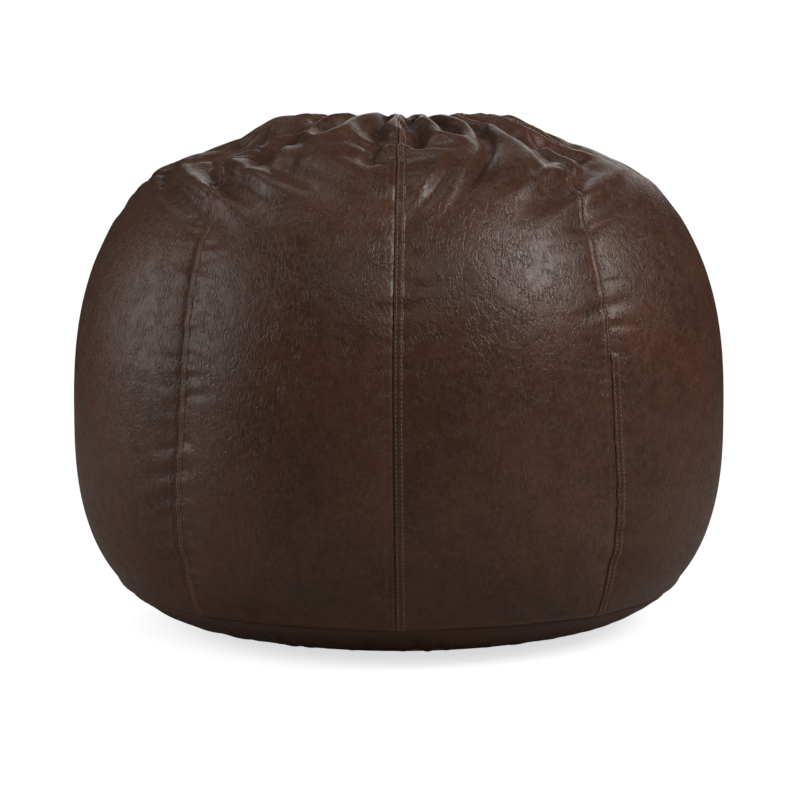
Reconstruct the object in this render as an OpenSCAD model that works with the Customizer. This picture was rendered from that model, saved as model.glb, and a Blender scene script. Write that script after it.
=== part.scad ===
// Round bean bag chair: a gathered eight-gore cover with a zip round the back of its base seam,
// a plain liner with its own zip, and a loose fill of beads.
// Millimetres, +Z up, front towards -Y. The origin is the middle of the floor patch.

/* [Body] */
// Widest diameter of the filled bag
body_d = 950; // [760:10:1150]
// Height of the top rim above the floor
body_h = 745; // [600:5:900]
// Height of the widest part above the floor
belly_h = 310; // [240:5:380]
// Diameter of the patch that rests flat on the floor
foot_d = 524; // [400:4:640]
// Diameter of the rim round the dished top
rim_d = 240; // [200:5:320]
// Depth of the dish inside the rim
dish_depth = 30; // [10:1:40]
// Squareness of the side below the belly, where 2 is an ellipse
lower_fullness = 2.6; // [2:0.1:3.4]
// Squareness of the side above the belly, where 2 is an ellipse
upper_fullness = 2.6; // [2:0.1:3.4]

/* [Cover] */
// Thickness of the leather-look cloth
cover_t = 1.5; // [1:0.1:2.5]
// Angle round the bag that each front and rear gore spans; the side gores share the rest
front_gore_deg = 41.5; // [36:0.5:54]
// Height of the base seam above the floor
base_seam_h = 60; // [45:1:90]
// Diameter of the round cap that the gathered gores are sewn to
cap_d = 180; // [120:5:190]

/* [Stitching] */
// Distance of the first topstitched row from its seam
stitch_near = 4; // [3:0.5:5]
// Distance of the second topstitched row from its seam
stitch_far = 11; // [8:0.5:14]
// Height where the allowance of the front right seam turns over, and its rows change sides
turn_h = 425; // [330:5:520]
// Width of the sewing thread
thread_w = 0.8; // [0.5:0.1:1.2]
// Height that the thread stands above the cloth
thread_h = 0.5; // [0.3:0.1:0.8]

/* [Liner and fill] */
// Thickness of the liner cloth
liner_t = 1; // [0.8:0.1:1.5]
// Room between the cover and the liner, which the zip slider needs
liner_ease = 3.5; // [3:0.1:6]
// Drop from the top rim to the flat top of the liner
liner_drop = 55; // [50:1:90]
// Length of the opening that the liner's straight zip closes
liner_zip_l = 400; // [240:10:460]

/* [Zips] */
// Width of the gap between the cloth edges that a zip closes
zip_open = 15; // [13:0.5:20]
// Width of each woven tape
tape_w = 14; // [11:0.5:16]
// Thickness of each woven tape
tape_t = 0.6; // [0.4:0.1:0.8]
// Width of each row of coil
coil_w = 3; // [2:0.1:3.5]
// Height of the coil above its tape
coil_t = 2.2; // [1.6:0.1:2.6]
// Length of a slider
slider_l = 15; // [11:0.5:18]
// Length of the pull beyond its pin
pull_l = 32; // [22:1:45]
// Width of the pull
pull_w = 7.2; // [6:0.2:9]

/* [Label] */
// Width of the sewn-in care label
label_w = 55; // [30:1:80]
// Length that the care label hangs from its seam
label_l = 34; // [20:1:40]
// Thickness of the care label
label_t = 0.6; // [0.4:0.1:1]

/* [Hidden] */
$fn = 96;

// Gores: each name with the angle of its first and last seam, counted from +X towards +Y
GORES = [
    ["front_right_gore", -90, -90 + front_gore_deg],
    ["right_front_gore", -90 + front_gore_deg, 0],
    ["right_rear_gore", 0, 90 - front_gore_deg],
    ["rear_right_gore", 90 - front_gore_deg, 90],
    ["rear_left_gore", 90, 90 + front_gore_deg],
    ["left_rear_gore", 90 + front_gore_deg, 180],
    ["left_front_gore", 180, 270 - front_gore_deg],
    ["front_left_gore", 270 - front_gore_deg, 270]
];
// Seams between the gores: each name with its angle, and the side that its upper rows are on,
// which is 1 for the same side as its lower rows
SEAMS = [
    ["front_seam_thread", -90, 1],
    ["front_right_seam_thread", -90 + front_gore_deg, -1],
    ["right_seam_thread", 0, 1],
    ["rear_right_seam_thread", 90 - front_gore_deg, 1],
    ["rear_seam_thread", 90, 1],
    ["rear_left_seam_thread", 90 + front_gore_deg, 1],
    ["left_seam_thread", 180, 1],
    ["front_left_seam_thread", 270 - front_gore_deg, 1]
];
// Quarters of the liner's side
LINER_GORES = [for (i = [0 : 3]) [str("liner_gore_", i + 1), 45 + 90 * i]];

LEATHER = "#4a2f27";
BASE_LEATHER = "#3f2821";
THREAD = "#8a6a52";
TAPE = "#2e211c";
COIL = "#241b18";
METAL = "#8c7a5c";
LINER = "#d8d2c4";
BEADS = "#f2f2ee";
LABEL = "#ece8df";

belly_r = body_d / 2;
foot_r = foot_d / 2;
rim_r = rim_d / 2;
cap_r = cap_d / 2;

// ---- Outline of the bag -------------------------------------------------------------------
// The outline runs with k: 0 at the edge of the floor patch, 1 at the belly, 2 at the top rim,
// 3 at the middle of the dish. Each third is one formula.
function side_below(a) = [
    foot_r + (belly_r - foot_r) * sin(a),
    belly_h * (1 - pow(cos(a), 2 / lower_fullness))
];
function side_above(a) = [
    rim_r + (belly_r - rim_r) * cos(a),
    belly_h + (body_h - belly_h) * pow(sin(a), 2 / upper_fullness)
];
function dish(share) = [
    rim_r * share,
    body_h - dish_depth * pow(1 - share * share, 1.5)
];
function outline(k) =
    k <= 0 ? [foot_r * (1 + k), 0] :
    k <= 1 ? side_below(90 * k) :
    k <= 2 ? side_above(90 * (k - 1)) :
    dish(max(0, 3 - k));

// Unit step along the outline, unit step out of it, and millimetres of outline for each unit of k
STEP = 0.002;
function chord(k) = outline(k + STEP) - outline(k - STEP);
function along(k) = k >= 3 ? [-1, 0] : chord(k) / norm(chord(k));
function outward(k) = [along(k)[1], -along(k)[0]];
function speed(k) = norm(chord(k)) / (2 * STEP);
// The point of the outline at k, moved out by off
function skin(k, off) = outline(k) + off * outward(k);
// The k that lies mm along the outline from k
function moved(k, mm) = k + mm / speed(k);

// k at a height below the belly, at a height above it, and at a radius inside the rim
function k_at_height(h) = acos(pow(1 - h / belly_h, lower_fullness / 2)) / 90;
function k_at_side_height(h) = 1 + asin(pow((h - belly_h) / (body_h - belly_h), upper_fullness / 2)) / 90;
function k_at_dish_radius(r) = 3 - r / rim_r;

k_seam = k_at_height(base_seam_h);
k_cap = k_at_dish_radius(cap_r);
k_zip_high = moved(k_seam, zip_open / 2);
k_zip_low = moved(k_seam, -zip_open / 2);

// The k of each outline point from k0 to k1. The points between the two ends are the same for
// every piece, so that the flats of cloth, tape and thread lie on each other.
K_STEP = 1 / 36;
function k_range(k0, k1) =
    let (first = floor(k0 / K_STEP) + 1, last = ceil(k1 / K_STEP) - 1)
    concat([k0], [for (i = [first : last]) if (i > k0 / K_STEP + 0.1 && i < k1 / K_STEP - 0.1) i * K_STEP], [k1]);

// Cross-section of a skin from k0 to k1, between the offsets inner and outer
function band(k0, k1, inner, outer) =
    let (ks = k_range(k0, k1), n = len(ks) - 1)
    concat([for (k = ks) skin(k, outer)], [for (i = [n : -1 : 0]) skin(ks[i], inner)]);

// A skin turned about Z from one angle to another
module turned_band(from, to, k0, k1, inner, outer) {
    rotate([0, 0, from])
        rotate_extrude(angle = to - from)
            polygon(band(k0, k1, inner, outer));
}

// ---- Cover --------------------------------------------------------------------------------
// The gores over the zip start above it, and the others start at the base seam
module gore(from, to) {
    over_zip = from >= 0 && to <= 180;
    color(LEATHER)
        turned_band(from, to, over_zip ? k_zip_high : k_seam, k_cap, -cover_t, 0);
}

module top_cap() {
    rim = k_range(k_cap, 3 - STEP);
    n = len(rim) - 1;
    middle = outline(3)[1];
    color(LEATHER)
        rotate_extrude()
            polygon(concat(
                [for (k = rim) skin(k, 0)],
                [[0, middle], [0, middle - cover_t]],
                [for (i = [n : -1 : 0]) skin(rim[i], -cover_t)]
            ));
}

// Half of the base: flat where it stands, then curved up to its edge at k_edge
module base_half(from, k_edge) {
    ks = k_range(STEP, k_edge);
    n = len(ks) - 1;
    rotate([0, 0, from])
        rotate_extrude(angle = 180)
            polygon(concat(
                [[0, 0], [foot_r, 0]],
                [for (k = ks) skin(k, 0)],
                [for (i = [n : -1 : 0]) skin(ks[i], -cover_t)],
                [[foot_r, cover_t], [0, cover_t]]
            ));
}

module base_panel() {
    color(BASE_LEATHER) {
        base_half(0, k_zip_low);
        base_half(180, k_seam);
    }
}

// ---- Topstitching -------------------------------------------------------------------------
// One row of thread beside the seam plane at y = 0, on the cloth from k0 to k1.
// In a plane at a distance from the seam, the cloth is nearer than its own radius.
module seam_row(distance, k0, k1) {
    inner_edge = abs(distance) - thread_w / 2;
    row = [for (p = band(k0, k1, 0, thread_h)) [sqrt(pow(p[0], 2) - pow(inner_edge, 2)), p[1]]];
    translate([0, distance, 0])
        rotate([90, 0, 0])
            linear_extrude(thread_w, center = true)
                polygon(row);
}

// The two rows beside a gore seam. Where side_above is -1, the seam allowance turns over at
// turn_h, and the rows change to its other side.
SEAM_ROW_CLEAR = 6; // distance from the stitching that crosses the seam's ends
module seam_thread(angle, side_above) {
    over_zip = angle >= 0 && angle <= 180;
    k0 = moved(over_zip ? k_zip_high : k_seam, SEAM_ROW_CLEAR);
    k1 = k_at_dish_radius(cap_r + 2 * SEAM_ROW_CLEAR);
    k_turn = k_at_side_height(turn_h);
    color(THREAD)
        rotate([0, 0, angle])
            for (distance = [stitch_near, stitch_far])
                if (side_above > 0) {
                    seam_row(distance, k0, k1);
                } else {
                    seam_row(distance, k0, k_turn);
                    seam_row(-distance, k_turn, k1);
                }
}

// One row of thread that runs round the bag at k
module ring_thread(from, to, k) {
    color(THREAD)
        turned_band(from, to, moved(k, -thread_w / 2), moved(k, thread_w / 2), 0, thread_h);
}

module cap_seam_thread() {
    ring_thread(0, 360, k_at_dish_radius(cap_r + stitch_near));
}

EDGE_ROW = 2.5; // distance of the thread from a cloth edge sewn to a zip
END_DEG = 0.5;  // angle kept clear at the ends of the zip opening
module zip_edge_thread() {
    ring_thread(END_DEG, 180 - END_DEG, moved(k_zip_high, EDGE_ROW));
    ring_thread(END_DEG, 180 - END_DEG, moved(k_zip_low, -EDGE_ROW));
}

// ---- Zips ---------------------------------------------------------------------------------
// A zip is drawn with X out of the cloth, Y along the zip and Z across it,
// from the middle of the tapes. The two rows of coil leave a parting line for the slider's web.
part_gap = 0.45;   // half the parting line between the two rows
layer_gap = 0.1;   // between cloth, tape and coil
run_clear = 0.25;  // between a slider and what it runs on
plate_t = 1;       // wall of a slider
web_t = 0.4;       // slider's web in the parting line

coil_low = tape_t / 2 + layer_gap;
coil_high = coil_low + coil_t;
channel_low = -(tape_t / 2 + run_clear);
channel_high = coil_high + run_clear;
channel_half = part_gap + coil_w + run_clear;
slider_half = channel_half + 1.3 * plate_t;
slot_high = tape_t / 2 + run_clear;
slider_top = channel_high + plate_t;
tape_end = part_gap + tape_w;

// Where the cover's zip sits: behind the cloth edges, centred on the base seam
tape_back = cover_t + layer_gap + tape_t;
zip_centre = skin(k_seam, -(tape_back - tape_t / 2));
zip_tilt = asin(along(k_seam)[0]);

module on_cover_zip(angle) {
    rotate([0, 0, angle])
        translate([zip_centre[0], 0, zip_centre[1]])
            rotate([0, zip_tilt, 0])
                children();
}

// Straight zip across the liner's top: Y along the zip becomes +X, and out of the cloth is +Z
liner_top = body_h - liner_drop;
liner_zip_z = liner_top - liner_t - layer_gap - tape_t / 2;
module on_liner_zip(x) {
    multmatrix([[0, 1, 0, x], [0, 0, 1, 0], [1, 0, 0, liner_zip_z], [0, 0, 0, 1]])
        children();
}

// Slider body: a channel over both rows, open at its sides for the tapes, with a web between
module slider_body() {
    module slab(low, high, half) {
        translate([low, -slider_l / 2, -half])
            cube([high - low, slider_l, 2 * half]);
    }
    difference() {
        union() {
            slab(channel_high, slider_top, slider_half);
            slab(channel_low - plate_t, channel_low, slider_half);
            slab(channel_low, channel_high, web_t / 2);
            slab(slot_high, channel_high, slider_half);
        }
        for (side = [-1, 1])
            translate([slot_high - 1, -slider_l, side > 0 ? web_t / 2 : -channel_half])
                cube([channel_high - slot_high + 1, 2 * slider_l, channel_half - web_t / 2]);
    }
}

// Bridge on the slider that keeps the pull's pin, standing on the slider's top
bridge_l = 10;
bridge_h = 3.4;
bridge_wall = 1.2;
bridge_t = 2.2;
module slider_bridge() {
    translate([slider_top, 0, 0])
        difference() {
            translate([0, -bridge_l / 2, -bridge_t / 2])
                cube([bridge_h, bridge_l, bridge_t]);
            translate([0, -bridge_l / 2 + bridge_wall, -bridge_t])
                cube([bridge_h - bridge_wall, bridge_l - 2 * bridge_wall, 2 * bridge_t]);
        }
}

// Pull: a flat tab with an eye, whose end bar is the round pin under the bridge
pin_r = 0.7;
pin_x = slider_top + (bridge_h - bridge_wall) / 2;
eye_l = norm([bridge_l / 2, bridge_h - (pin_x - slider_top)]) + 2 * run_clear;
eye_half = bridge_t / 2 + 2 * run_clear;
hang_hole_r = 1.6;
module pull_tab() {
    tip = pull_l - pull_w / 2;
    translate([pin_x, 0, 0]) {
        cylinder(r = pin_r, h = pull_w, center = true);
        rotate([90, 0, 0])
            linear_extrude(2 * pin_r, center = true)
                difference() {
                    union() {
                        translate([0, -pull_w / 2])
                            square([tip, pull_w]);
                        translate([tip, 0])
                            circle(pull_w / 2);
                    }
                    translate([-1, -eye_half])
                        square([1 + eye_l, 2 * eye_half]);
                    translate([tip, 0])
                        circle(hang_hole_r);
                }
    }
}

coil_end_deg = 20;   // angle of bare tape, sewn shut, between each end of the opening and the coil
stop_len = 4;        // length of an end stop along the zip
park_gap = 0.5;      // between a parked slider and its stop, and between a stop and the cloth
tape_tail = 15;      // tape beyond each end of the liner's zip
deg_per_mm = 180 / PI / zip_centre[0];
slider_park_deg = coil_end_deg + (park_gap + slider_l / 2) * deg_per_mm;

// A row of coil or a tape of the cover's zip, turned about Z
module cover_zip_tape(side) {
    a = moved(k_seam, side * part_gap);
    b = moved(k_seam, side * tape_end);
    color(TAPE)
        turned_band(END_DEG, 180 - END_DEG, min(a, b), max(a, b), -tape_back, -(tape_back - tape_t));
}

module cover_zip_coil(side) {
    row = [for (p = [[coil_low, part_gap], [coil_high, part_gap],
                     [coil_high, part_gap + coil_w], [coil_low, part_gap + coil_w]])
        zip_centre + p[0] * outward(k_seam) + side * p[1] * along(k_seam)];
    color(COIL)
        rotate([0, 0, coil_end_deg])
            rotate_extrude(angle = 180 - 2 * coil_end_deg)
                polygon(row);
}

// Blocks that end the two rows of coil, one for each row
module stop_pair() {
    for (side = [-1, 1])
        translate([coil_low, -stop_len / 2, side > 0 ? part_gap : -part_gap - coil_w])
            cube([coil_t, stop_len, coil_w]);
}

module cover_zip_stops() {
    angle = coil_end_deg - (stop_len / 2 + layer_gap) * deg_per_mm;
    color(METAL) {
        on_cover_zip(angle)
            stop_pair();
        on_cover_zip(180 - angle)
            stop_pair();
    }
}

module cover_zip_slider() {
    color(METAL)
        on_cover_zip(slider_park_deg) {
            slider_body();
            slider_bridge();
        }
}

module cover_zip_pull() {
    color(METAL)
        on_cover_zip(slider_park_deg)
            pull_tab();
}

module liner_zip_tape(side) {
    color(TAPE)
        on_liner_zip(0)
            translate([-tape_t / 2, -liner_tape_l / 2, side > 0 ? part_gap : -tape_end])
                cube([tape_t, liner_tape_l, tape_w]);
}

liner_tape_l = liner_zip_l + 2 * tape_tail;
liner_coil_l = liner_zip_l - 2 * (stop_len + layer_gap + park_gap);
module liner_zip_coil(side) {
    color(COIL)
        on_liner_zip(0)
            translate([coil_low, -liner_coil_l / 2, side > 0 ? part_gap : -part_gap - coil_w])
                cube([coil_t, liner_coil_l, coil_w]);
}

module liner_zip_stops() {
    color(METAL)
        for (end = [-1, 1])
            on_liner_zip(end * ((liner_zip_l - stop_len) / 2 - park_gap))
                stop_pair();
}

module liner_zip_slider() {
    color(METAL)
        on_liner_zip(-liner_coil_l / 2 + park_gap + slider_l / 2)
            slider_body();
}

// ---- Liner and fill -----------------------------------------------------------------------
liner_out = -(cover_t + liner_ease);
fill_gap = 0.5; // between the beads and the liner's side
fill_top = liner_zip_z + channel_low - plate_t - run_clear;
k_liner_top = 2;

// Everything below a height
module below(h) {
    intersection() {
        children();
        cylinder(r = body_d, h = h);
    }
}

module liner_gore(middle) {
    color(LINER)
        below(liner_top - liner_t)
            turned_band(middle - 45, middle + 45, k_seam, k_liner_top, liner_out - liner_t, liner_out);
}

module liner_base() {
    ks = k_range(STEP, k_seam);
    n = len(ks) - 1;
    color(LINER)
        rotate_extrude()
            polygon(concat(
                [[0, -liner_out], [foot_r, -liner_out]],
                [for (k = ks) skin(k, liner_out)],
                [for (i = [n : -1 : 0]) skin(ks[i], liner_out - liner_t)],
                [[foot_r, liner_t - liner_out], [0, liner_t - liner_out]]
            ));
}

// The liner's outer shape as one solid, moved in by inset
module liner_shape(inset) {
    ks = k_range(STEP, k_liner_top);
    low = inset - liner_out;
    rotate_extrude()
        polygon(concat(
            [[0, low], [foot_r, low]],
            [for (k = ks) skin(k, liner_out - inset)],
            [[0, skin(k_liner_top, liner_out - inset)[1]]]
        ));
}

// Half of the liner's flat top, cut away where the zip closes it
module liner_top_half(side) {
    reach = body_d;
    color(LINER)
        intersection() {
            liner_shape(0);
            difference() {
                translate([-reach, side > 0 ? 0 : -reach, liner_top - liner_t])
                    cube([2 * reach, reach, liner_t]);
                translate([-liner_zip_l / 2, -zip_open / 2, liner_top - 2 * liner_t])
                    cube([liner_zip_l, zip_open, 3 * liner_t]);
            }
        }
}

module bead_fill() {
    color(BEADS)
        below(fill_top)
            liner_shape(liner_t + fill_gap);
}

// ---- Label --------------------------------------------------------------------------------
// Blank care label, sewn into the edge below the zip and hanging down from it
LABEL_DEG = 118;
module care_label() {
    color(LABEL)
        on_cover_zip(LABEL_DEG)
            translate([cover_t + layer_gap + tape_t / 2 + thread_h + layer_gap,
                       -label_w / 2, -zip_open / 2 - label_l])
                cube([label_t, label_w, label_l]);
}

// ---- The object ---------------------------------------------------------------------------
for (g = GORES)
    gore(g[1], g[2]);
top_cap();
base_panel();
for (s = SEAMS)
    seam_thread(s[1], s[2]);
cap_seam_thread();
zip_edge_thread();
care_label();
cover_zip_tape(1);  // cover_zip_tape_upper
cover_zip_tape(-1);  // cover_zip_tape_lower
cover_zip_coil(1);  // cover_zip_coil_upper
cover_zip_coil(-1);  // cover_zip_coil_lower
cover_zip_stops();
cover_zip_slider();
cover_zip_pull();
for (g = LINER_GORES)
    liner_gore(g[1]);
liner_base();
liner_top_half(-1);  // liner_top_front
liner_top_half(1);  // liner_top_rear
liner_zip_tape(-1);  // liner_zip_tape_front
liner_zip_tape(1);  // liner_zip_tape_rear
liner_zip_coil(-1);  // liner_zip_coil_front
liner_zip_coil(1);  // liner_zip_coil_rear
liner_zip_stops();
liner_zip_slider();
bead_fill();
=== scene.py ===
# Round bean bag chair: a gathered cover of eight leather-look gores with topstitched seams, a
# round cap, a base with a zip round its rear half, a liner with its own zip, and loose beads.
# Metres, +Z up, front towards -Y. The origin is the middle of the floor patch.
import math

import bpy
import numpy as np
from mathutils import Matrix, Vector


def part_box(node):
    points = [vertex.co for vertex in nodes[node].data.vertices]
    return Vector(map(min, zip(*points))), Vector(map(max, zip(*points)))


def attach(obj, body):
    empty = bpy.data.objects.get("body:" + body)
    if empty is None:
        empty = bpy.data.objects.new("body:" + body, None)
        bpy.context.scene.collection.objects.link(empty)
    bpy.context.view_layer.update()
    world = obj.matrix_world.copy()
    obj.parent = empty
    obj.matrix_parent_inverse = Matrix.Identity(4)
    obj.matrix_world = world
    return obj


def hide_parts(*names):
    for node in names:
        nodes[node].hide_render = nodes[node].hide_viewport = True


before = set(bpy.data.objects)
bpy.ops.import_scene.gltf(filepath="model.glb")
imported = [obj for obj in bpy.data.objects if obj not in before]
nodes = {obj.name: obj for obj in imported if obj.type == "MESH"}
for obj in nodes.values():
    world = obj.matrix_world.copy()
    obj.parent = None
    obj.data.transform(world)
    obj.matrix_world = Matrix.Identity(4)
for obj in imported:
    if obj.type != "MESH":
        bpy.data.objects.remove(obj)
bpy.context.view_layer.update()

# ---- Sizes of the cover --------
GORE_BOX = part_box("left_front_gore")
BELLY_R = -GORE_BOX[0].x  # widest radius
BODY_H = GORE_BOX[1].z  # height of the rim
BASE_SEAM_H = GORE_BOX[0].z  # height of the base seam
CAP_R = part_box("top_cap")[1].x  # radius of the round cap
BELLY_H = 0.310  # height of the widest part
FOOT_R = 0.262  # radius where the outline starts to rise
FLAT_R = 0.195  # radius that rests flat on the floor
ROLL = 0.010  # how high the base has rolled off the floor at FOOT_R
RIM_R = 0.120  # radius of the rim round the dished top
DISH = 0.030  # depth of the dish
FULLNESS = 2.6  # squareness of the side, where 2 is an ellipse
CLOTH_T = 0.0015  # thickness of the leather-look cloth
COVER_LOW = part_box("liner_zip_slider")[1].z + 0.003  # lowest that the cover sinks over the liner's zip
SLOT = 0.0075  # half the width of the gap that a zip closes

FRONT_GORE = math.radians(41.5)  # angle of a front or rear gore
QUARTER, HALF, WHOLE = math.pi / 2, math.pi, 2 * math.pi  # turns
SEAMS = ["front", "front_right", "right", "rear_right", "rear", "rear_left", "left", "front_left"]
SEAM_ANGLE = np.array([
    -QUARTER, FRONT_GORE - QUARTER, 0, QUARTER - FRONT_GORE, QUARTER,
    QUARTER + FRONT_GORE, HALF, 3 * QUARTER - FRONT_GORE, 3 * QUARTER,
])
GORES = ["front_right", "right_front", "right_rear", "rear_right",
         "rear_left", "left_rear", "left_front", "front_left"]
TURN_H = 0.425  # height where the front right seam's allowance changes sides
ROW_NEAR, ROW_FAR = 0.004, 0.011  # distances of the stitch rows from a seam
PITCH = 0.006  # length of one stitch and its gap
RIDGE = 0.0012  # height of the ridge over a seam's allowance


def smooth(x, low, high):
    """Smooth step: 0 below low, 1 above high, 3t^2 - 2t^3 between."""
    t = np.clip((x - low) / (high - low), 0, 1)
    return t * t * (3 - 2 * t)


def bell(x, width):
    """Bell curve exp(-(x / width)^2)."""
    return np.exp(-(x / width) ** 2)


def unit(x):
    """Each vector divided by its length."""
    return x / np.linalg.norm(x, axis=-1, keepdims=True)


def outline(k):
    """Radius and height of the bag's outline at k: 0 at the floor patch's edge, 1 at the belly, 2 at the
    rim, 3 in the middle of the dish. Below and above the belly it is a quarter of a superellipse, and
    the dish drops by (1 - share^2)^1.5, where share is the radius as a part of the rim's."""
    k = np.asarray(k, float)
    a = np.clip(k, 0, 1) * QUARTER
    b = np.clip(k - 1, 0, 1) * QUARTER
    share = np.clip(3 - k, 0, 1)
    low = FOOT_R + (BELLY_R - FOOT_R) * np.sin(a), BELLY_H * (1 - np.cos(a) ** (2 / FULLNESS))
    high = (RIM_R + (BELLY_R - RIM_R) * np.cos(b),
            BELLY_H + (BODY_H - BELLY_H) * np.sin(b) ** (2 / FULLNESS))
    dish = RIM_R * share, BODY_H - DISH * (1 - share ** 2) ** 1.5
    return (np.where(k < 1, low[0], np.where(k < 2, high[0], dish[0])),
            np.where(k < 1, low[1], np.where(k < 2, high[1], dish[1])))


class Outline:
    """The outline from k0 to k1, read by arc length: radius, height and outward direction."""

    def __init__(self, k0, k1, points=4001):
        self.k = np.linspace(k0, k1, points)
        self.r, self.z = outline(self.k)
        self.s = np.concatenate([[0], np.cumsum(np.hypot(np.diff(self.r), np.diff(self.z)))])
        self.length = self.s[-1]
        self.dr, self.dz = np.gradient(self.r, self.s), np.gradient(self.z, self.s)

    def at(self, s):
        """Radius, height, and the outward direction's radial and upward parts, at arc length s."""
        r, z, a, b = (np.interp(s, self.s, v) for v in (self.r, self.z, self.dr, self.dz))
        n = np.hypot(a, b)
        return r, z, b / n, -a / n


K_SEAM = np.arccos((1 - BASE_SEAM_H / BELLY_H) ** (FULLNESS / 2)) / QUARTER
K_CAP = 3 - CAP_R / RIM_R
side = Outline(K_SEAM, K_CAP)
LENGTH = side.length  # of a gore, from the base seam to the cap


def around(r, z, phi):
    """Points at radius r and height z, turned to the angles phi."""
    return np.stack(np.broadcast_arrays(r * np.cos(phi), r * np.sin(phi), z), -1)


# ---- Cloth of the cover, drawn over its fill --------
# By seam, the first again at the end: how far it stands aside at the belly, how far it leans over
# the shoulder, and how far it is drawn in there
ASIDE = np.radians([-0.4, -3.6, 0, 0, 0, 0, 0, 3.6, -0.4])
LEAN = np.radians([0, 6, 0, -6, 2, 7, -3, -9, 0])
DRAW = np.array([0.000, 0.010, 0.012, 0.016, 0.008, 0.014, 0.010, 0.010, 0.000])
# Folds over the shoulder: angle from the front in degrees, distance up the cloth, half width, half
# length, depth (less than nothing for a ridge), and how fast it turns to the right going up, in
# degrees for each metre
FOLDS = [
    (-78, 0.755, 0.080, 0.045, 0.014, 0), (78, 0.755, 0.080, 0.045, 0.014, 0),
    (-57, 0.725, 0.018, 0.045, 0.026, 0), (-46, 0.740, 0.018, 0.060, -0.007, 0),
    (-37, 0.745, 0.018, 0.080, 0.014, -50), (-20, 0.745, 0.034, 0.080, -0.008, -10),
    (-7, 0.735, 0.012, 0.060, 0.008, 0), (6, 0.780, 0.010, 0.028, 0.010, 0),
    (24, 0.720, 0.015, 0.085, 0.014, 110), (36, 0.735, 0.026, 0.070, -0.008, 30),
    (56, 0.725, 0.018, 0.042, 0.026, 0),
]
other_folds = np.random.default_rng(12)
FOLDS += [(angle + other_folds.normal(0, 2.5), 0.745 + other_folds.normal(0, 0.02),
           other_folds.uniform(0.013, 0.019), other_folds.uniform(0.05, 0.09),
           other_folds.uniform(0.008, 0.020), other_folds.normal(0, 45))
          for angle in np.arange(70, 292, 13.7)]
# Sharper folds in the cloth itself, in the same terms
CREASES = [
    (-59, 0.745, 0.012, 0.022, 0.034, 0), (59, 0.745, 0.012, 0.022, 0.034, 0),
    (-60, 0.718, 0.014, 0.020, 0.010, 0), (60, 0.718, 0.014, 0.020, 0.010, 0),
    (-50, 0.725, 0.013, 0.034, -0.009, -30), (50, 0.725, 0.013, 0.034, -0.009, 30),
    (-33, 0.715, 0.013, 0.055, -0.007, -40), (-39, 0.715, 0.011, 0.055, 0.010, -40),
    (-7, 0.730, 0.009, 0.045, 0.006, 0), (7, 0.770, 0.008, 0.030, 0.011, 20),
    (6.5, 0.640, 0.009, 0.045, -0.0055, 90), (10, 0.650, 0.009, 0.050, 0.0065, 90),
    (18.5, 0.690, 0.012, 0.070, -0.007, 110), (22.5, 0.695, 0.010, 0.075, 0.009, 110),
    (46, 0.688, 0.009, 0.018, 0.011, 0), (-25, 0.690, 0.008, 0.030, 0.003, -20),
    (33, 0.660, 0.009, 0.035, 0.003, 40), (41, 0.740, 0.010, 0.050, 0.006, 15),
    (-13, 0.790, 0.012, 0.030, 0.004, -20), (-24, 0.800, 0.012, 0.035, 0.005, -30),
]
CREASES += [(angle + other_folds.normal(0, 3), 0.72 + other_folds.normal(0, 0.04),
             other_folds.uniform(0.008, 0.013), other_folds.uniform(0.03, 0.07),
             other_folds.uniform(0.003, 0.010), other_folds.normal(0, 70))
            for angle in np.arange(66, 296, 9.1)]
GATHER, GATHER_OUT = 0.64, 0.37  # surplus width at the cap, and the radius where it starts
EASE, EASE_REACH = 0.022, 0.038  # surplus length beside a seam, and how far it reaches
FOLD = 0.068  # width of a free fold
SINK = 0.019  # how far the gathered part sinks into the fill


def seam_angles(s):
    """Angle of each seam at arc length s: it stands aside at the belly and leans over the shoulder."""
    s = np.asarray(s, float)[..., None]
    over = smooth(s, 0.585, 0.70) * (1 - 0.5 * smooth(s, 0.80, LENGTH))
    return SEAM_ANGLE + over * LEAN + bell(s - 0.37, 0.24) * ASIDE


def pressed(folds, phi, r, s):
    """Sum of the folds' bells: how deep they press in at angle phi, radius r and arc length s."""
    front = (phi + 3 * QUARTER) % WHOLE - HALF
    deep_in = 0
    for angle, up, wide, long, deep, turn in folds:
        away = front - np.radians(angle + turn * (s - up))
        away = (away + HALF) % WHOLE - HALF
        deep_in = deep_in + deep * bell(away * r, wide) * bell(s - up, long)
    return deep_in


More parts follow.
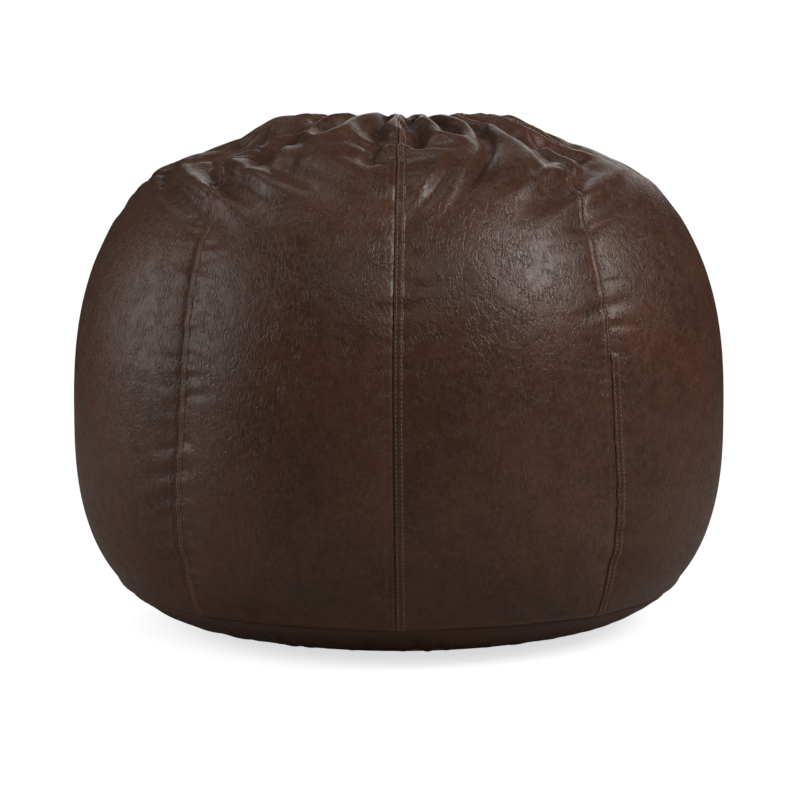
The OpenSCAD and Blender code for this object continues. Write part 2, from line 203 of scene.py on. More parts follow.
class Fill:
    """The fill's surface on a grid that closes round, with cols columns in each gore and rows rows:
    base is the outline turned by each column's angle, crowned between the seams, drawn in at the
    seams over the shoulder, with the folds pressed in."""

    def __init__(self, cols, rows):
        self.cols, self.rows = cols, rows
        self.s = np.linspace(0, LENGTH, rows + 1)
        self.r, z, nr, nz = side.at(self.s)
        self.u = np.tile(np.arange(cols) / cols, 8)
        seam = seam_angles(self.s)
        first, last = (np.repeat(a, cols, 1) for a in (seam[:, :-1], seam[:, 1:]))
        self.phi, self.span = first + (last - first) * self.u, last - first
        r, s = self.r[:, None], self.s[:, None]
        before, after = self.u * self.span * r, (1 - self.u) * self.span * r
        self.near = np.minimum(before, after)
        off = 0.0145 * (4 * self.u * (1 - self.u)) ** 0.8 - 0.0105
        off = off * smooth(s, 0, 0.10) * (1 - smooth(s, 0.70, 0.86))
        drawn = (np.repeat(DRAW[:-1], cols) * np.exp(-before / 0.022)
                 + np.repeat(DRAW[1:], cols) * np.exp(-after / 0.022))
        off = off - bell(s - 0.74, 0.075) * drawn
        off = off - pressed(FOLDS, self.phi, r, s) - SINK * smooth(s, 0.62, 0.80) * (
            1 - 0.25 * smooth(s, 0.81, 0.87))
        self.base = around(r + off * nr[:, None], z[:, None] + off * nz[:, None], self.phi)
        self.out = around(nr[:, None], nz[:, None], self.phi)

    def cut(self):
        """Lengths of the cut cloth across and along each cell: the outline's own, plus the gathered
        surplus towards the cap, plus the ease beside a seam. The seam itself is a little short."""
        gather = GATHER * smooth(self.r, GATHER_OUT, 0.085)[:, None] ** 1.5
        gather = gather * (1 - 0.8 * bell(self.near, 0.010))
        across = self.span / self.cols * self.r[:, None] * (1.006 + gather)
        turn = (self.phi[1:] - self.phi[:-1]) * 0.5 * (self.r[1:] + self.r[:-1])[:, None]
        plain = np.hypot(LENGTH / self.rows, turn)
        near = 0.5 * (self.near[1:] + self.near[:-1])
        along = plain * (1.004 + EASE * np.exp(-near / EASE_REACH))
        return across, np.where(self.u == 0, 0.995 * plain, along)


def pull_together(cloth, a, b, length, share):
    """Moves the ends of the links from a to b towards their cut length, by a share of the error."""
    d = cloth[b] - cloth[a]
    now = np.sqrt(np.einsum("...i,...i->...", d, d)) + 1e-12
    move = (0.5 * share * (now - length) / now)[..., None] * d
    cloth[a] += move
    cloth[b] -= move


def bent(x, axis):
    """Difference of each point from the middle of its neighbours, along rows (0) or round (1)."""
    if axis:
        return np.roll(x, 1, 1) + np.roll(x, -1, 1) - 2 * x
    out = np.zeros_like(x)
    out[1:-1] = x[2:] + x[:-2] - 2 * x[1:-1]
    return out


def relax(cloth, fill, steps, hold, stiff):
    """Cloth over a soft fill: in each step every link of the grid is drawn to its cut length, across,
    along and on both diagonals, the fill holds each point weakly where it is and stops it at a depth,
    and bending is evened out. Both ends stay sewn."""
    across, along = fill.cut()
    slant = np.hypot(0.5 * (across[1:] + across[:-1]), 0.5 * (along + np.roll(along, -1, 1)))
    depth = (0.004 + 0.016 * smooth(fill.r, 0.38, 0.28))[:, None]
    rows, n = fill.rows, cloth.shape[1]
    everywhere, speed = slice(None), np.zeros_like(cloth)
    for _ in range(steps):
        before = cloth
        cloth = cloth + 0.85 * speed
        gap = cloth - fill.base
        out = np.einsum("...i,...i->...", gap, fill.out)[..., None] * fill.out
        cloth = cloth + 0.002 * hold * fill.out - hold * out - 0.004 * (gap - out)
        deep = np.einsum("...i,...i->...", cloth - fill.base, fill.out)
        cloth += 0.5 * (np.maximum(-depth - deep, 0))[..., None] * fill.out
        wide = np.concatenate([cloth, cloth[:, :1]], 1)
        for first in (0, 1):
            pull_together(wide, (everywhere, slice(first, n, 2)),
                          (everywhere, slice(first + 1, n + 1, 2)), across[:, first::2], 1)
            wide[:, 0] = wide[:, n] = wide[:, n if first else 0]
        for first in (0, 1):
            pull_together(wide, (slice(first, rows, 2), slice(0, n)),
                          (slice(first + 1, rows + 1, 2), slice(0, n)), along[first::2], 1)
        wide[:, n] = wide[:, 0]
        for first_row in (0, 1):
            for first in (0, 1):
                low, high = slice(first_row, rows, 2), slice(first_row + 1, rows + 1, 2)
                here, there = slice(first, n, 2), slice(first + 1, n + 1, 2)
                length = slant[first_row::2, first::2]
                pull_together(wide, (low, here), (high, there), length, 0.15)
                pull_together(wide, (high, here), (low, there), length, 0.15)
                wide[:, 0] = wide[:, n] = wide[:, n if first else 0]
        cloth = wide[:, :n]
        off = cloth - fill.base
        cloth = cloth - stiff * bent(bent(off, 1), 1) - 0.02 * bent(bent(off, 0), 0)
        cloth[0], cloth[-1] = fill.base[0], fill.base[-1]
        speed = cloth - before
        fastest = np.abs(speed).max()
        if fastest > 0.004:
            speed = speed * (0.004 / fastest)
    return cloth


def doubled(x, closed):
    """Twice as many points along the first axis, the new ones halfway on a cubic."""
    if closed:
        middle = (-np.roll(x, 1, 0) + 9 * x + 9 * np.roll(x, -1, 0) - np.roll(x, -2, 0)) / 16
    else:
        p = np.concatenate([2 * x[:1] - x[1:2], x, 2 * x[-1:] - x[-2:-1]])
        middle = (-p[:-3] + 9 * p[1:-2] + 9 * p[2:-1] - p[3:]) / 16
    out = np.empty((len(x) + len(middle),) + x.shape[1:])
    out[0::2], out[1::2] = x, middle
    return out


def finer(cloth):
    """The cloth on twice as many rows and columns."""
    return doubled(doubled(cloth, False).swapaxes(0, 1), True).swapaxes(0, 1)


def waves(rng, n, turns, count):
    """Random smooth wave round n columns: the sum of sines with whole numbers of turns."""
    x = np.arange(n) / n * WHOLE
    t = rng.integers(*turns, count)[:, None]
    return (np.sin(t * x + rng.uniform(0, WHOLE, (count, 1)))
            * rng.uniform(0.5, 1, (count, 1))).sum(0) / count ** 0.5


def gathered_cloth():
    """The cover's cloth on a grid of 241 rows and 512 columns, solved on three grids from coarse to
    fine. The stiffness is kept to the same real fold width on each. The sharper folds are pressed
    into the result, and the middle is kept above the liner."""
    rng = np.random.default_rng(7)
    cloth, hold = None, 0.012
    # Columns in a gore, rows, steps; then the waves that start the folds: size, radius where they
    # start and where they are full, turns, number; then the unevenness
    levels = ((16, 60, 160, 0.0050, 0.38, 0.24, (22, 41), 9, 0.0006),
              (32, 120, 140, 0.0008, 0.18, 0.10, (80, 121), 12, 0.0002),
              (64, 240, 120, 0.0008, 0.18, 0.10, (138, 201), 12, 0.0002))
    for cols, rows, steps, size, start, full, turns, count, rough in levels[:3]:
        fill = Fill(cols, rows)
        cloth = fill.base if cloth is None else finer(cloth)
        push = (size * smooth(fill.r, start, full)[:, None] * waves(rng, 8 * cols, turns, count)
                + rng.normal(0, rough, cloth.shape[:2]))
        cloth = cloth + push[..., None] * fill.out
        stiff = hold * (FOLD / (WHOLE * 0.24 * WHOLE / (8 * cols))) ** 4
        ease = min(1, 0.06 / stiff)
        cloth = relax(cloth, fill, steps, hold * ease, stiff * ease)
    deep = pressed(CREASES, fill.phi, fill.r[:, None], fill.s[:, None])
    cloth = cloth - deep[..., None] * fill.out
    above = cloth[..., 2] - COVER_LOW
    rest = COVER_LOW + 0.5 * (above + np.sqrt(above ** 2 + 0.004 ** 2))
    on_top = smooth(fill.s, 0.74, 0.79)[:, None]
    cloth[..., 2] = (1 - on_top) * cloth[..., 2] + on_top * rest
    return cloth, fill


cloth, fill = gathered_cloth()
COLS, ROWS = fill.cols, fill.rows


def directions(cloth):
    """Outward unit direction at each grid point: the cross product of its central differences."""
    across = np.roll(cloth, -1, 1) - np.roll(cloth, 1, 1)
    along = np.gradient(cloth, axis=0)
    return unit(np.cross(across, along))


cloth_out = directions(cloth)


def read(grid, row, col):
    """Cubic (Catmull-Rom) reading of a grid that closes round, at fractional rows and columns."""
    def weights(t):
        return (0.5 * (-t + 2 * t ** 2 - t ** 3), 0.5 * (2 - 5 * t ** 2 + 3 * t ** 3),
                0.5 * (t + 4 * t ** 2 - 3 * t ** 3), 0.5 * (t ** 3 - t ** 2))
    r0, c0 = np.floor(row).astype(int), np.floor(col).astype(int)
    out = 0
    for i, wr in enumerate(weights(row - r0)):
        r = np.clip(r0 + i - 1, 0, grid.shape[0] - 1)
        for j, wc in enumerate(weights(col - c0)):
            c = (c0 + j - 1) % grid.shape[1]
            out = out + (wr * wc)[..., None] * grid[r, c]
    return out


def cut_width(gore, s):
    """Width of a gore's cut cloth at s, across the whole gore."""
    r, angle = side.at(s)[0], seam_angles(s)
    span = angle[..., gore + 1] - angle[..., gore]
    return span * r * (1.006 + 0.9 * GATHER * smooth(r, GATHER_OUT, 0.085) ** 1.5)


def puckers(rng, count, longest):
    """Random little folds that start at a seam: place up the cloth, reach, slant, half width, depth.
    One in three is large."""
    place = np.linspace(0.03, LENGTH - 0.20, count) + rng.normal(0, 0.006, count)
    large = rng.random(count) < 0.33
    reach = np.where(large, rng.uniform(0.5, 1, count) * longest, rng.uniform(0.006, 0.012, count))
    return np.stack([place, reach, rng.normal(0, 0.12, count),
                     np.where(large, 0.0055, 0.0030) * rng.uniform(0.8, 1.3, count),
                     np.where(large, 0.0011, 0.0005) * rng.uniform(0.5, 1.3, count)])


# How strong the puckers are on the side before a seam and on the side after it
PUCKER = {"front": (0.45, 0.6), "front_right": (1.0, 0.6), "right": (0.7, 0.9), "rear_right": (0.6, 0.9),
          "rear": (0.6, 0.7), "rear_left": (0.5, 0.9), "left": (0.8, 0.7), "front_left": (0.4, 1.1)}
pucker_rng = np.random.default_rng(21)
PUCKERS = {(name, way): puckers(pucker_rng, 70, 0.045) for name in SEAMS for way in (0, 1)}


def seam_relief(name, way, s, d, z):
    """Height of the cloth beside a seam, at distance d along the cloth on the side before it (way 0)
    or after it (way 1). Where the allowance lies below the cloth it stands up as a flat ridge to
    past the second stitch row, with a dip under each row. The other side sinks into the seam.
    The puckers are ridged valleys across the seam that fade with d."""
    lapped = np.ones_like(s) * (way == 1)
    if name == "front_right":
        above = smooth(z, TURN_H - 0.004, TURN_H + 0.004)
        lapped = above if way == 0 else 1 - above
    ridge = (smooth(d, -0.0004, 0.0016) * (1 - smooth(d, 0.0120, 0.0136))
             - 0.45 * bell(d - ROW_NEAR, 0.0009) - 0.45 * bell(d - ROW_FAR, 0.0009))
    lap = RIDGE * ridge - 0.0006 * np.exp(-d / 0.0008)
    relief = lapped * lap - (1 - lapped) * 0.0007 * np.exp(-d / 0.0012)
    place, reach, slant, wide, deep = PUCKERS[name, way].reshape(5, -1, *[1] * s.ndim)
    start = np.where(lapped > 0.5, 0.0125, 0.001)
    x = (s - place - slant * d) / wide
    fade = smooth(d, start - 0.001, start + 0.004) * np.exp(-(np.maximum(d - start, 0) / reach) ** 2)
    folds = (deep * (0.55 * bell(x - 1.4, 1) + 0.45 * bell(x + 1.4, 1) - bell(x, 1)) * fade).sum(0)
    return relief + PUCKER[name][way] * folds


def end_relief(s):
    """Height of the cloth near its sewn ends: it rolls over the base seam and into the cap's seam."""
    low = 0.0032 * bell(s - 0.011, 0.009) - 0.0022 * np.exp(-s / 0.0022)
    up = LENGTH - s
    return low + 0.0016 * bell(up - 0.006, 0.004) - 0.0020 * np.exp(-up / 0.0016)


def cover_skin(gore, s, u):
    """Points and outward directions of the finished cover at arc length s and share u of a gore:
    the solved cloth, raised by the relief of the seam on each side and of the sewn ends."""
    row, col = s / LENGTH * ROWS, (gore + u) * COLS
    at, out = read(cloth, row, col), unit(read(cloth_out, row, col))
    width = cut_width(gore, s)
    fade = smooth(s, 0.0, 0.012)
    relief = end_relief(s)
    for name, way, d in ((SEAMS[gore], 1, u * width), (SEAMS[(gore + 1) % 8], 0, (1 - u) * width)):
        relief = relief + fade * seam_relief(name, way, s, d, at[..., 2])
    return at + relief[..., None] * out, out


# ---- Meshes --------
def grid_faces(rows, cols, closed=False):
    """Four-sided faces of a grid of points in rows, joined round where closed."""
    r = np.arange(rows - 1)[:, None]
    c = np.arange(cols if closed else cols - 1)[None]
    n = (c + 1) % cols
    return np.stack(np.broadcast_arrays(r * cols + c, r * cols + n, (r + 1) * cols + n,
                                        (r + 1) * cols + c), -1).reshape(-1, 4)


def closed_tube(rows, cols, start=0, flip=False):
    """Faces of a grid that closes round, with both ends filled from one side across to the other."""
    ring, i = (np.arange(cols) + start) % cols, np.arange(cols // 2 - 1)
    cap = np.stack([ring[i], ring[i + 1], ring[cols - 2 - i], ring[cols - 1 - i]], -1)
    faces = np.concatenate([cap[:, ::-1], grid_faces(rows, cols, closed=True), cap + (rows - 1) * cols])
    return faces[:, ::-1] if flip else faces


def placed(name, data):
    """A new object in the scene."""
    new = bpy.data.objects.new(name, data)
    bpy.context.scene.collection.objects.link(new)
    return new


def make_piece(name, points, faces, uv=None, wear=None):
    """A mesh object from arrays: points, four-sided faces, and for each point a place on the cloth in
    metres and a share of lightening on raised edges, partly for rubbing and partly a painted highlight."""
    points = np.asarray(points, float).reshape(-1, 3)
    mesh = bpy.data.meshes.new(name)
    mesh.vertices.add(len(points))
    mesh.vertices.foreach_set("co", points.astype(np.float32).ravel())
    mesh.loops.add(faces.size)
    mesh.loops.foreach_set("vertex_index", faces.astype(np.int32).ravel())
    mesh.polygons.add(len(faces))
    mesh.polygons.foreach_set("loop_start", np.arange(0, faces.size, 4, dtype=np.int32))
    mesh.update(calc_edges=True)
    if uv is not None:
        layer = mesh.uv_layers.new(name="cloth")
        layer.data.foreach_set("uv", np.asarray(uv, np.float32).reshape(-1, 2)[faces.ravel()].ravel())
    if wear is not None:
        attribute = mesh.attributes.new("wear", "FLOAT", "POINT")
        attribute.data.foreach_set("value", np.asarray(wear, np.float32).ravel())
    mesh.validate()
    mesh.shade_smooth()
    return placed(name, mesh)


def thicken(piece, thickness):
    """Gives a skin its thickness, inwards."""
    solid = piece.modifiers.new("thickness", "SOLIDIFY")
    solid.thickness, solid.offset, solid.use_even_offset = thickness, -1, False
    return piece


def finish_piece(piece, body, material, replaced=()):
    """Rides a piece on its body, material and the CAD nodes that it stands for."""
    piece.data.materials.append(material)
    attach(piece, body)
    if replaced:
        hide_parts(*replaced)
    return piece


# ---- Materials --------
class Value:
    """A value in a material. Arithmetic on it adds Math nodes."""

    def __init__(self, material, socket):
        self.material, self.socket = material, socket

    def math(self, operation, *values):
        return self.material.add("ShaderNodeMath", {"operation": operation}, dict(enumerate(values)))

    def __add__(self, other): return self.math("ADD", self, other)
    def __radd__(self, other): return self.math("ADD", other, self)
    def __sub__(self, other): return self.math("SUBTRACT", self, other)
    def __rsub__(self, other): return self.math("SUBTRACT", other, self)
    def __mul__(self, other): return self.math("MULTIPLY", self, other)
    def __rmul__(self, other): return self.math("MULTIPLY", other, self)
    def __truediv__(self, other): return self.math("DIVIDE", self, other)
    def __rtruediv__(self, other): return self.math("DIVIDE", other, self)
    def __pow__(self, other): return self.math("POWER", self, other)
    def __neg__(self): return self.math("MULTIPLY", self, -1)


class Finish:
    """A material under construction, with one Principled shader."""

    def __init__(self, name):
        self.material = bpy.data.materials.new(name)
        self.material.use_nodes = True
        self.tree = self.material.node_tree
        self.tree.nodes.clear()
        self.shader = self.tree.nodes.new("ShaderNodeBsdfPrincipled")
        out = self.tree.nodes.new("ShaderNodeOutputMaterial")
        self.tree.links.new(self.shader.outputs[0], out.inputs["Surface"])

    def add(self, kind, settings=None, inputs=None, output=0):
        """Adds a node: its settings first, then the values or links of its sockets."""
        node = self.tree.nodes.new(kind)
        for key, value in (settings or {}).items():
            if key == "stops":
                ramp = node.color_ramp
                while len(ramp.elements) < len(value):
                    ramp.elements.new(0.5)
                for element, (place, shade) in zip(ramp.elements, value):
                    element.position, element.color = place, (*shade, 1)
            else:
                setattr(node, key, value)
        for key, value in (inputs or {}).items():
            self.put(node.inputs[key], value)
        return Value(self, node.outputs[output])

    def put(self, socket, value):
        """Sets a socket or links it."""
        if isinstance(value, Value):
            self.tree.links.new(value.socket, socket)
        elif hasattr(value, "__len__") and len(value) == 3 and socket.type == "RGBA":
            socket.default_value = (*value, 1)
        else:
            socket.default_value = value

    def cloth(self):
        """Place on the cloth, in metres."""
        return self.add("ShaderNodeUVMap", {"uv_map": "cloth"})

    def place(self):
        """Place in the row frame, in metres."""
        return self.add("ShaderNodeTexCoord", output=3)

    def stretched(self, vector, scale, move=(0, 0, 0)):
        """The vector, scaled and moved."""
        return self.add("ShaderNodeMapping", None, {"Vector": vector, "Scale": scale, "Location": move})

    def noise(self, vector, scale, detail=2.0, roughness=0.5, distortion=0.0):
        return self.add("ShaderNodeTexNoise", None, {"Vector": vector, "Scale": scale, "Detail": detail,
                                                     "Roughness": roughness, "Distortion": distortion})

    def warped(self, vector, scale, amount):
        """The vector, moved by noise."""
        move = self.add("ShaderNodeTexNoise", None, {"Vector": vector, "Scale": scale, "Detail": 2.0},
                        output=1)
        centred = self.add("ShaderNodeVectorMath", {"operation": "SUBTRACT"},
                           {0: move, 1: (0.5, 0.5, 0.5)})
        return self.add("ShaderNodeVectorMath", {"operation": "MULTIPLY_ADD"},
                        {0: centred, 1: (amount,) * 3, 2: vector})

    def cracks(self, vector, scale, width):
        """1 along the edges of random cells, 0 inside them."""
        edge = self.add("ShaderNodeTexVoronoi", {"feature": "DISTANCE_TO_EDGE"},
                        {"Vector": vector, "Scale": scale})
        return self.between(edge, 0.0, width, 1.0, 0.0)

    def between(self, value, low, high, to_low=0.0, to_high=1.0):
        """A smooth step from one value to another."""
        return self.add("ShaderNodeMapRange", {"interpolation_type": "SMOOTHSTEP"},
                        {"Value": value, "From Min": low, "From Max": high,
                         "To Min": to_low, "To Max": to_high})

    def mixed(self, share, a, b, how="MIX"):
        """Colour a with share of b in it."""
        return self.add("ShaderNodeMix", {"data_type": "RGBA", "blend_type": how},
                        {0: share, 6: a, 7: b}, output=2)

    def relief(self, height, depth, below=None):
        """A bump of that many metres for height 1."""
        inputs = {"Height": height, "Distance": depth, "Strength": 1.0}
        if below is not None:
            inputs["Normal"] = below
        return self.add("ShaderNodeBump", None, inputs)

    def shade(self, **sockets):
        """Sets the shader's sockets, by their names with an underscore for each space."""
        for key, value in sockets.items():
            self.put(self.shader.inputs[key.replace("_", " ")], value)
        return self.material


def leather(name, deep, warm, tan, wear_and_highlight_share):
    """Leather-look coated cloth: brown with warm mottling, fine pebble grain, short crinkles that run
    mostly up the cloth, a wider crackle that comes and goes, painted shade inside the crackle and the
    crinkles, a painted highlight along the crackle's rims, and seam edges made lighter partly by rubbing
    and partly as a painted highlight."""
    f = Finish(name)
    cloth = f.cloth()
    cloth = f.warped(cloth, 70.0, 0.005)
    patches = f.between(f.noise(cloth, 9.0, 3.0), 0.36, 0.60, 0.25, 1.0)
    fine_patches = f.between(f.noise(cloth, 30.0, 2.0), 0.34, 0.58)
    wide = f.stretched(cloth, (1.25, 0.80, 1.0))
    crackle = f.cracks(wide, 92.0, 0.11) * patches * fine_patches
    thin = f.stretched(cloth, (1.7, 0.55, 1.0), (3.1, 1.7, 0))
    crinkle = f.cracks(thin, 125.0, 0.15) * f.between(f.noise(cloth, 42.0, 2.0), 0.40, 0.58)
    streaks = f.noise(f.stretched(cloth, (1.0, 0.30, 1.0)), 200.0, 3.0)
    pebble = f.add("ShaderNodeTexVoronoi", {"feature": "SMOOTH_F1"},
                   {"Vector": cloth, "Scale": 560.0, "Smoothness": 0.6})
    soft = f.noise(cloth, 34.0, 4.0, 0.55)
    height = (soft * 1.3 + streaks * 0.40 - crackle * 0.42 - crinkle * 0.42 - pebble * 0.22)
    normal = f.relief(height, 0.00066)
    mottle = f.noise(cloth, 6.5, 5.0, 0.6)
    colour = f.mixed(f.between(mottle, 0.36, 0.66), deep, warm)
    colour = f.mixed(f.between(f.noise(cloth, 120.0, 4.0, 0.65), 0.42, 0.74, 0.0, 0.35), colour, tan)
    # Painted highlight: a tan band along the crackle's rims, where the raised edges would catch the
    # light.
    rim = f.cracks(wide, 92.0, 0.24) * fine_patches
    colour = f.mixed(rim * 0.34, colour, tan)
    # Painted shade: the crackle and the crinkles are darkened in the colour, as if shade fell inside
    # them.
    colour = f.mixed((crackle + crinkle) * 0.35, colour, tuple(0.45 * c for c in deep))
    # Seam edges, the cap's edge and the base seam's roll turn towards tan: partly real rubbing of the
    # finish, partly a painted highlight on these raised edges.
    wear = f.add("ShaderNodeAttribute", {"attribute_name": "wear"}, output=2)
    rubbed_and_lit = wear * f.between(f.noise(cloth, 160.0, 3.0), 0.35, 0.65, 0.35, 1.0)
    colour = f.mixed(rubbed_and_lit * wear_and_highlight_share, colour, tan)
    rough = f.between(f.noise(cloth, 70.0, 4.0, 0.6), 0.3, 0.7, 0.30, 0.42) + crackle * 0.12
    return f.shade(Base_Color=colour, Roughness=rough, Normal=normal, Specular_IOR_Level=0.5)


def sewing_thread():
    """Bonded thread: tan, with twisted strands."""
    f = Finish("sewing_thread")
    cloth = f.cloth()
    twist = f.add("ShaderNodeTexWave", {"bands_direction": "DIAGONAL"},
                  {"Vector": cloth, "Scale": 420.0, "Distortion": 1.0})
    colour = f.mixed(f.noise(f.place(), 60.0, 3.0), (0.36, 0.22, 0.14), (0.55, 0.38, 0.25))
    return f.shade(Base_Color=colour, Roughness=0.55, Normal=f.relief(twist, 0.00012))


COVER_LEATHER = leather("cover_leather", (0.080, 0.0310, 0.0170), (0.119, 0.0435, 0.0225),
                        (0.190, 0.098, 0.062), 0.55)
# Painted light: the base band's leather is the cover's leather made about half as light again, standing
# in for the light that the floor bounces up onto it.
BASE_LEATHER_PAINTED_BOUNCE = leather("base_leather", (0.120, 0.050, 0.029), (0.165, 0.066, 0.037),
                       (0.210, 0.105, 0.065), 0.4)
THREAD = sewing_thread()


# ---- Gores --------
SIDE_STEPS = 1e-3 * np.array([0, 0.4, 0.8, 1.3, 1.9, 2.6, 3.2, 3.6, 4.0, 4.4, 4.8, 5.6, 6.8, 8.2,
                              9.6, 10.2, 10.6, 11.0, 11.4, 11.8, 12.4, 13.2, 14.0, 15.0, 16.5,
                              18.5, 21.0])
MIDDLE_STEPS = 42
GORE_S = np.concatenate([[0, 0.0025, 0.005], np.linspace(SLOT, LENGTH - 0.008, 365),
                         LENGTH - 1e-3 * np.array([6, 4, 3, 2, 1.2, 0.5, 0])])


def make_gore(gore):
    """One gore: rows up the cloth, and columns that are close together beside both seams. The place on
    the cloth is the length along each row from the gore's middle, and the arc length."""
    over_zip = gore in (2, 3, 4, 5)
    s = (GORE_S[3:] if over_zip else GORE_S)[:, None]
    width = cut_width(gore, s)
    near = SIDE_STEPS / width
    middle = near[:, -1:] + (1 - 2 * near[:, -1:]) * np.linspace(0, 1, MIDDLE_STEPS + 2)[1:-1]
    u = np.concatenate([near, middle, 1 - near[:, ::-1]], 1)
    at, out = cover_skin(gore, s + 0 * u, u)
    if over_zip:  # the edge is folded under beside the zip
        edge = s - SLOT
        at = at + (0.0011 * (1 - smooth(edge, 0.006, 0.009)) - 0.0012 * np.exp(-edge / 0.0009)
                   - 0.0006 * bell(edge - 0.0025, 0.0008))[..., None] * out
    steps = np.linalg.norm(np.diff(at, axis=1), axis=-1)
    across = np.concatenate([0 * s, np.cumsum(steps, 1)], 1)
    across = across - across[:, u.shape[1] // 2][:, None]
    uv = np.stack([across + 0.9 * gore, s + 0 * u], -1)
    d = np.minimum(u, 1 - u) * width
    # Lighter along the edges of the seam's ridge and over the roll at the base seam: partly rubbing,
    # partly a painted highlight on these raised edges.
    wear = bell(d - 0.0022, 0.0014) + 0.6 * bell(d - 0.0118, 0.0016) + 0.5 * bell(s - 0.010, 0.006)
    piece = make_piece(GORES[gore] + "_panel", at, grid_faces(*u.shape), uv, wear)
    finish_piece(thicken(piece, CLOTH_T), "bag", COVER_LEATHER,
                 [GORES[gore] + "_gore"])


for gore in range(8):
    make_gore(gore)


# ---- Topstitching --------
STITCH = (0.0047, [0.02, 0.36, 0.42, 0.36, 0.02], [-0.55, 0.08, 0.30, 0.08, -0.55])
TOOTH = (0.0030, [0.05, 0.62, 0.62, 0.88, 0.45], [0.0, 0.2, 0.5, 0.5, 0.2])


def tubes(centre, along, out, kind):
    """Short arched tubes, such as stitches and coil teeth: for each one its centre, its direction and
    the direction that it stands up in. Five rings of six points, whose radius and height in
    millimetres the kind gives; the first and last rings are drawn together."""
    length, thick, high = kind
    t, thick, high = np.array([0, 0.10, 0.5, 0.90, 1.0]), 1e-3 * np.array(thick), 1e-3 * np.array(high)
    turn = np.arange(6) / 6 * WHOLE
    cross = np.cross(along, out)
    line = (centre[:, None] + along[:, None] * ((t - 0.5) * length)[None, :, None]
            + out[:, None] * high[None, :, None])
    ring = (cross[:, None, None] * np.cos(turn)[None, None, :, None]
            + 0.75 * out[:, None, None] * np.sin(turn)[None, None, :, None])
    points = line[:, :, None] + thick[None, :, None, None] * ring
    one = closed_tube(5, 6, flip=True)
    faces = (one[None] + 30 * np.arange(len(centre))[:, None, None]).reshape(-1, 4)
    uv = np.zeros((len(centre), 5, 6, 2))
    uv[..., 0], uv[..., 1] = turn * 0.0004, (t * length)[:, None]
    return points, faces, uv


def join_rows(parts):
    """Several sets of stitches as one set of arrays."""
    count = np.cumsum([0] + [p[0].size // 3 for p in parts])
    return (np.concatenate([p[0].reshape(-1, 3) for p in parts]),
            np.concatenate([p[1] + c for p, c in zip(parts, count)]),
            np.concatenate([p[2].reshape(-1, 2) for p in parts]))


def stitch_row(gore, s, u, skew=0.0):
    """Stitches on a gore, along a line of its cloth given by places s and shares u."""
    at, out = cover_skin(gore, s, u)
    along = unit(np.gradient(at, axis=0))
    return tubes(at, unit(along + skew * np.cross(along, out)), out, STITCH)


def sew(name, parts, replaced):
    """Several sets of stitches as one piece."""
    finish_piece(make_piece(name, *join_rows(parts)), "bag", THREAD, [replaced])


def seam_stitches(seam):
    """Both rows beside one seam, on the gore after it, or before it where its allowance turns over."""
    name, after, before = SEAMS[seam], seam, (seam - 1) % 8
    first = SLOT if 2 <= seam <= 6 else 0
    s = np.arange(first + 0.006, LENGTH - 0.012, PITCH)
    turned = (side.at(s)[1] > TURN_H) & (name == "front_right")
    parts = []
    for distance in (ROW_NEAR, ROW_FAR):
        for gore, here in ((after, ~turned), (before, turned)):
            if here.any():
                share = distance / cut_width(gore, s[here])
                parts.append(stitch_row(gore, s[here], share if gore == after else 1 - share, 0.05))
    sew(name + "_topstitching", parts, name + "_seam_thread")


for seam in range(8):
    seam_stitches(seam)


# ---- Cap and base --------
def make_cap():
    """The round cap: the dish's outline turned round, with short radial pleats that fade inwards and a
    crease where it is sewn to the gores."""
    rng = np.random.default_rng(5)
    cols, share = 320, np.concatenate([np.linspace(1, 0.9, 14), np.linspace(0.88, 0.001, 34)])
    phi = np.arange(cols) / cols * WHOLE
    r = CAP_R * share
    z = BODY_H - DISH * (1 - (r / RIM_R) ** 2) ** 1.5
    inside = CAP_R - r
    pleat = waves(rng, cols, (28, 52), 12) + 0.6 * waves(rng, cols, (60, 90), 8)
    soft = waves(rng, cols, (3, 9), 5)
    lift = (0.0013 * pleat[None] * (np.exp(-inside / 0.014) * (1 - np.exp(-inside / 0.002)))[:, None]
            + 0.0018 * soft[None] * bell(inside - 0.03, 0.03)[:, None]
            + (0.0022 * bell(inside - 0.006, 0.005) - 0.0020 * np.exp(-inside / 0.0016))[:, None])
    at = around(r[:, None], z[:, None] + lift, phi[None])
    uv = at[..., :2] + [9, 0]
    # Lighter along the raised edge by the cap's seam: partly rubbing, partly a painted highlight.
    wear = bell(inside - 0.003, 0.002)[:, None] + 0 * lift
    piece = make_piece("top_cap_panel", at, grid_faces(len(r), cols, closed=True), uv, wear)
    finish_piece(thicken(piece, CLOTH_T), "bag", COVER_LEATHER, ["top_cap"])


def cap_stitches():
    """The ring of stitches on the gores, beside the cap's seam."""
    count = int(WHOLE * CAP_R / PITCH)
    s = LENGTH - 0.004
    parts = []
    for gore in range(8):
        n = int(count * (SEAM_ANGLE[gore + 1] - SEAM_ANGLE[gore]) / WHOLE) * 1.6
        u = (np.arange(int(n)) + 0.5) / int(n)
        parts.append(stitch_row(gore, np.full_like(u, s), u))
    sew("cap_topstitching", parts, "cap_seam_thread")


foot = Outline(0, K_SEAM, 801)


